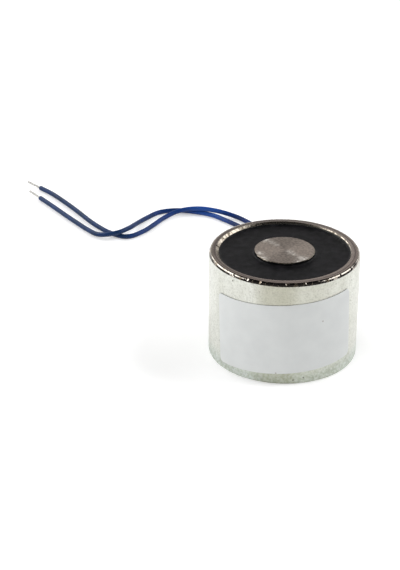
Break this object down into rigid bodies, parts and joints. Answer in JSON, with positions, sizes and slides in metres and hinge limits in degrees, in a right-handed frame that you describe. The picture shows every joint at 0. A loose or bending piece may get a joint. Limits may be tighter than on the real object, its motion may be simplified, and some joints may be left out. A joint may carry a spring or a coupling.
{
  "type": "holding electromagnet",
  "caption": "Round pot-type holding electromagnet: nickel-plated steel cup, steel pole core, black casting resin, bare wrap-round label and blue flying leads with tinned ends.",
  "frame": {"origin": "the centre of the round mounting face, at the back of the steel cup; the magnet stands on this face", "axes": "+Z runs along the axis to the pole face, -Y is the side with the label, +Y is the side where the leads leave"},
  "size_m": [0.0789, 0.0939, 0.022],
  "materials": {
    "nickel_plate": "satin",
    "bare_steel": "satin",
    "casting_resin": "satin",
    "label_film": "satin",
    "bobbin_nylon": "satin",
    "enamelled_copper": "satin",
    "polyester_tape": "gloss",
    "pressboard": "matte",
    "black_sleeve": "satin",
    "blue_insulation": "satin",
    "solder": "satin",
    "tie_film": "satin"
  },
  "bodies": {
    "root": {"shell": "nickel_plate", "pole_core": "bare_steel", "bobbin": "bobbin_nylon", "winding": "enamelled_copper", "winding_start_tail": "enamelled_copper", "winding_finish_tail": "enamelled_copper", "winding_tape": "polyester_tape", "base_insulator": "pressboard", "top_insulator": "pressboard", "casting_resin": "casting_resin", "label": "label_film", "exit_sleeve": "black_sleeve", "splice_sleeve_a": "black_sleeve", "splice_sleeve_b": "black_sleeve", "solder_joint_a": "solder", "solder_joint_b": "solder", "lead_a_inner": "blue_insulation", "lead_b_inner": "blue_insulation", "lead_a_to_coil": "blue_insulation", "lead_b_to_coil": "blue_insulation", "lead_coil": "blue_insulation", "lead_tie": "tie_film", "lead_a_to_end": "blue_insulation", "lead_b_to_end": "blue_insulation", "tinned_end_a": "solder", "tinned_end_b": "solder"}
  },
  "joints": []
}
